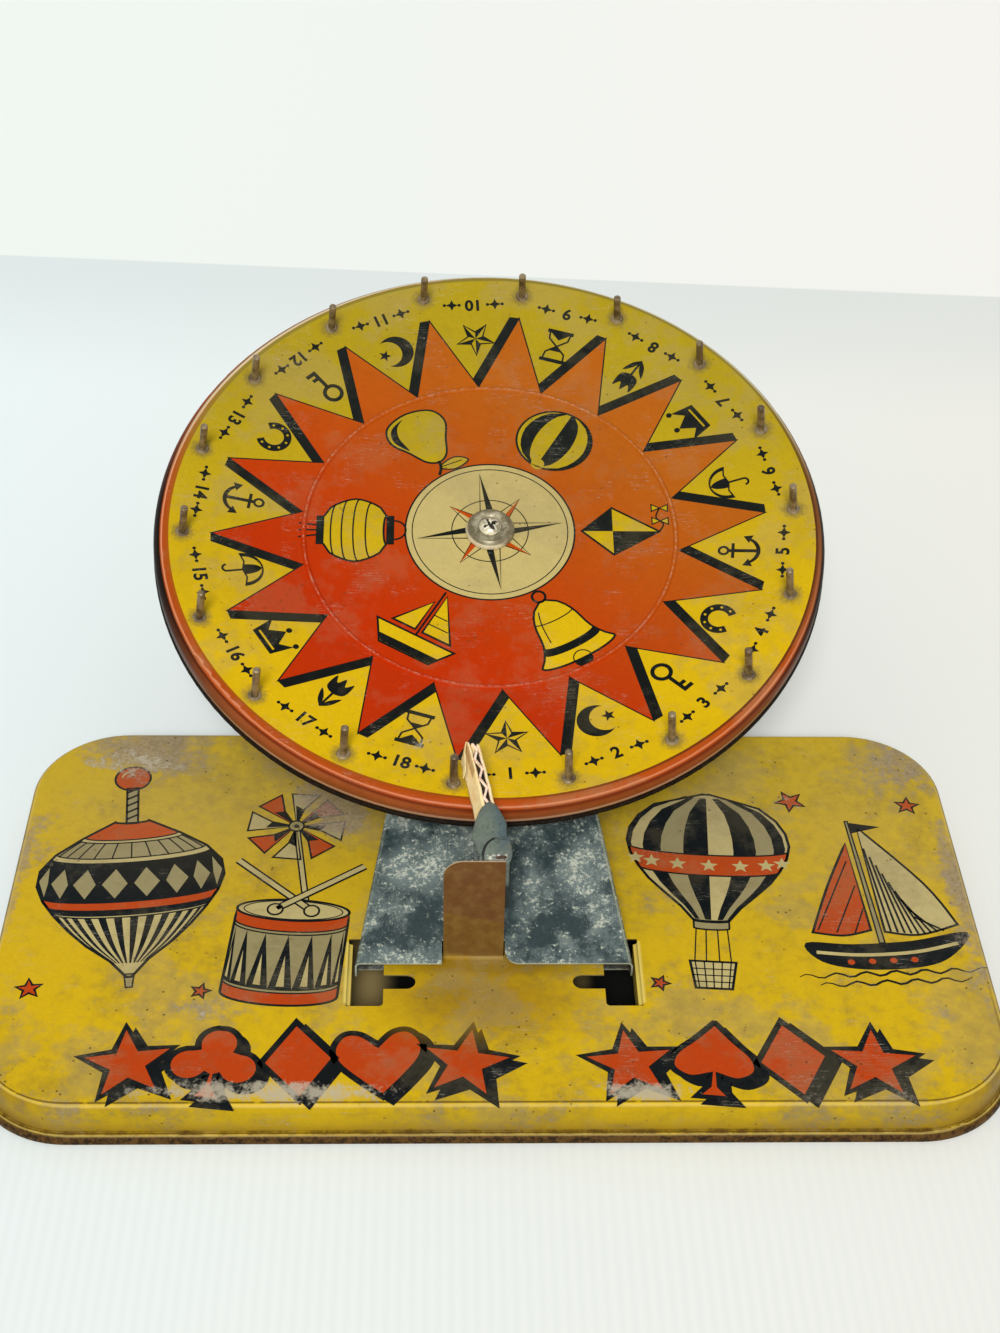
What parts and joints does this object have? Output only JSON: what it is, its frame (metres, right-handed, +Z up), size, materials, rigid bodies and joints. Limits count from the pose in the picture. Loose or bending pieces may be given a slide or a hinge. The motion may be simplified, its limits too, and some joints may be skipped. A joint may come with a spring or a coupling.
{
  "type": "spinner game",
  "caption": "Wheel game of printed tin: a wheel with a ring of pegs spins on a folded stand over a pressed tray, and a card strip on a tab clicks past the pegs.",
  "frame": {"origin": "bottom centre of the whole toy's box, on the surface that the tray stands on", "axes": "+X to the player's right, +Y away from the player, +Z up"},
  "size_m": [0.301, 0.2942, 0.127],
  "materials": {
    "printed_tray": "worn gloss print",
    "printed_wheel": "worn gloss print",
    "bare_tin": "oxidised",
    "steel": "dull",
    "peg_steel": "tarnished",
    "brass": "dull",
    "fibre": "matte",
    "card": "matte",
    "tape": "matte"
  },
  "bodies": {
    "base": {"base_tray": "printed_tray", "stand_bracket": "bare_tin", "spacer_tube": "steel", "thrust_washer": "fibre", "bearing_sleeve": "steel", "cup_washer": "steel", "spindle_screw": "steel", "flat_washer": "steel", "lock_washer": "steel", "spindle_nut": "steel", "tape_anchor": "tape"},
    "wheel": {"wheel_disc": "printed_wheel", "hub_bush": "brass", "peg_01": "peg_steel", "peg_02": "peg_steel", "peg_03": "peg_steel", "peg_04": "peg_steel", "peg_05": "peg_steel", "peg_06": "peg_steel", "peg_07": "peg_steel", "peg_08": "peg_steel", "peg_09": "peg_steel", "peg_10": "peg_steel", "peg_11": "peg_steel", "peg_12": "peg_steel", "peg_13": "peg_steel", "peg_14": "peg_steel", "peg_15": "peg_steel", "peg_16": "peg_steel", "peg_17": "peg_steel", "peg_18": "peg_steel"},
    "pointer": {"pointer_card": "card", "pointer_tape": "tape"}
  },
  "joints": [
    {"name": "wheel_spin", "type": "hinge", "parent": "base", "child": "wheel", "pos_m": [0, 0.04203, 0.07859], "axis": [0, -0.3156, 0.9489], "continuous": true},
    {"name": "pointer_flex", "type": "hinge", "parent": "base", "child": "pointer", "pos_m": [-0.0012, -0.08206, 0.04581], "axis": [0, 0, 1], "range_deg": [-7, 7], "stiffness_Nm_per_rad": 0.02}
  ]
}
